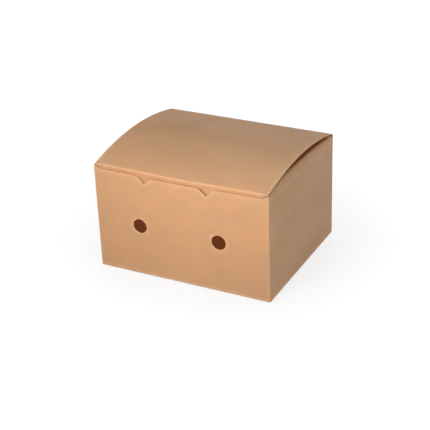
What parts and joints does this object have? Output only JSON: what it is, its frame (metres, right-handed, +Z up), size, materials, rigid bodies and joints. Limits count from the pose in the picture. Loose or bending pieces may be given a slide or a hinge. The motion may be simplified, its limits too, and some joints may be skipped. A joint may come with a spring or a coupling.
{
  "type": "paperboard snack box",
  "caption": "Tuck top paperboard snack box with an arched hinged lid, dust flaps, vent holes and a crash lock base.",
  "frame": {"origin": "middle of the box's footprint, on the surface that it stands on", "axes": "+X to the right along the front wall, +Y from the front wall to the hinged back wall, +Z up"},
  "size_m": [0.17, 0.143, 0.1116],
  "materials": {
    "tray_board": "satin",
    "lid_board": "satin"
  },
  "bodies": {
    "tray": {"tray": "tray_board"},
    "lid": {"lid": "lid_board"}
  },
  "joints": [
    {"name": "lid_hinge", "type": "hinge", "parent": "tray", "child": "lid", "pos_m": [0, 0.07118, 0.1018], "axis": [-1, 0, 0], "range_deg": [0, 200]}
  ]
}
